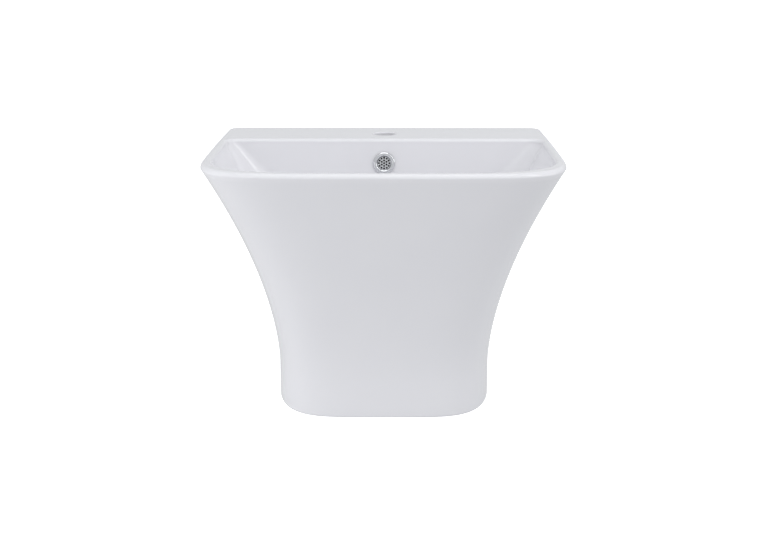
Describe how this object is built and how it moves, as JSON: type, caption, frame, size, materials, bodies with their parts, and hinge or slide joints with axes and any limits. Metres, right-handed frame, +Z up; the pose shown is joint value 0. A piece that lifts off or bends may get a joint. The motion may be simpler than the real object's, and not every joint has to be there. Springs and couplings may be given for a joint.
{
  "type": "wall-hung washbasin with half pedestal",
  "caption": "Wall-hung ceramic washbasin whose flared body runs down into a half pedestal, with a tap hole, overflow, press-to-close waste and bottle trap.",
  "frame": {"origin": "on the flat back of the basin, where it meets the wall, midway between the two wall-fixing holes", "axes": "+X to the right for a person facing the basin, +Y into the wall, +Z up"},
  "size_m": [0.51, 0.43, 0.388],
  "materials": {
    "ceramic": "glossy white glaze",
    "chrome": "polished",
    "brass": "machined",
    "spring_steel": "drawn wire",
    "black_rubber": "matte",
    "grey_rubber": "matte",
    "white_plastic": "moulded polypropylene, satin",
    "nylon": "moulded"
  },
  "bodies": {
    "basin": {"basin_body": "ceramic", "fixing_bush_left": "nylon", "fixing_bush_right": "nylon", "overflow_ring": "chrome", "overflow_seal": "grey_rubber", "overflow_strainer": "chrome", "waste_body": "chrome", "flange_gasket": "black_rubber", "lower_gasket": "black_rubber", "slip_washer": "nylon", "waste_backnut": "brass", "click_cartridge": "brass", "click_spring": "spring_steel", "trap_inlet_nut": "white_plastic", "trap_inlet_washer": "grey_rubber", "trap_inlet_tube": "white_plastic", "trap_top_nut": "white_plastic", "trap_top_washer": "grey_rubber", "trap_head": "white_plastic", "outlet_nut": "white_plastic", "outlet_washer": "grey_rubber", "outlet_pipe": "white_plastic", "wall_rosette": "white_plastic"},
    "plug": {"plug_cap": "chrome", "plug_seal": "black_rubber", "plug_stem": "brass"},
    "cup_seal": {"cup_seal": "grey_rubber"},
    "cup": {"trap_cup": "white_plastic"}
  },
  "joints": [
    {"name": "plug_press", "type": "slide", "parent": "basin", "child": "plug", "axis": [0, 0, 1], "range_m": [-0.01, 0], "stiffness_N_per_m": 500, "springref_m": 0.008, "deforming": ["click_spring"]},
    {"name": "cup_drop", "type": "slide", "parent": "basin", "child": "cup_seal", "axis": [0, 0, 1], "range_m": [-0.0095, 0]},
    {"name": "cup_turn", "type": "hinge", "parent": "cup_seal", "child": "cup", "pos_m": [0, -0.242, -0.2], "axis": [0, 0, 1], "range_deg": [-900, 0]}
  ],
  "couplings": [
    {"joint": "cup_drop", "follows": "cup_turn", "m_per_rad": 0.00055704}
  ]
}
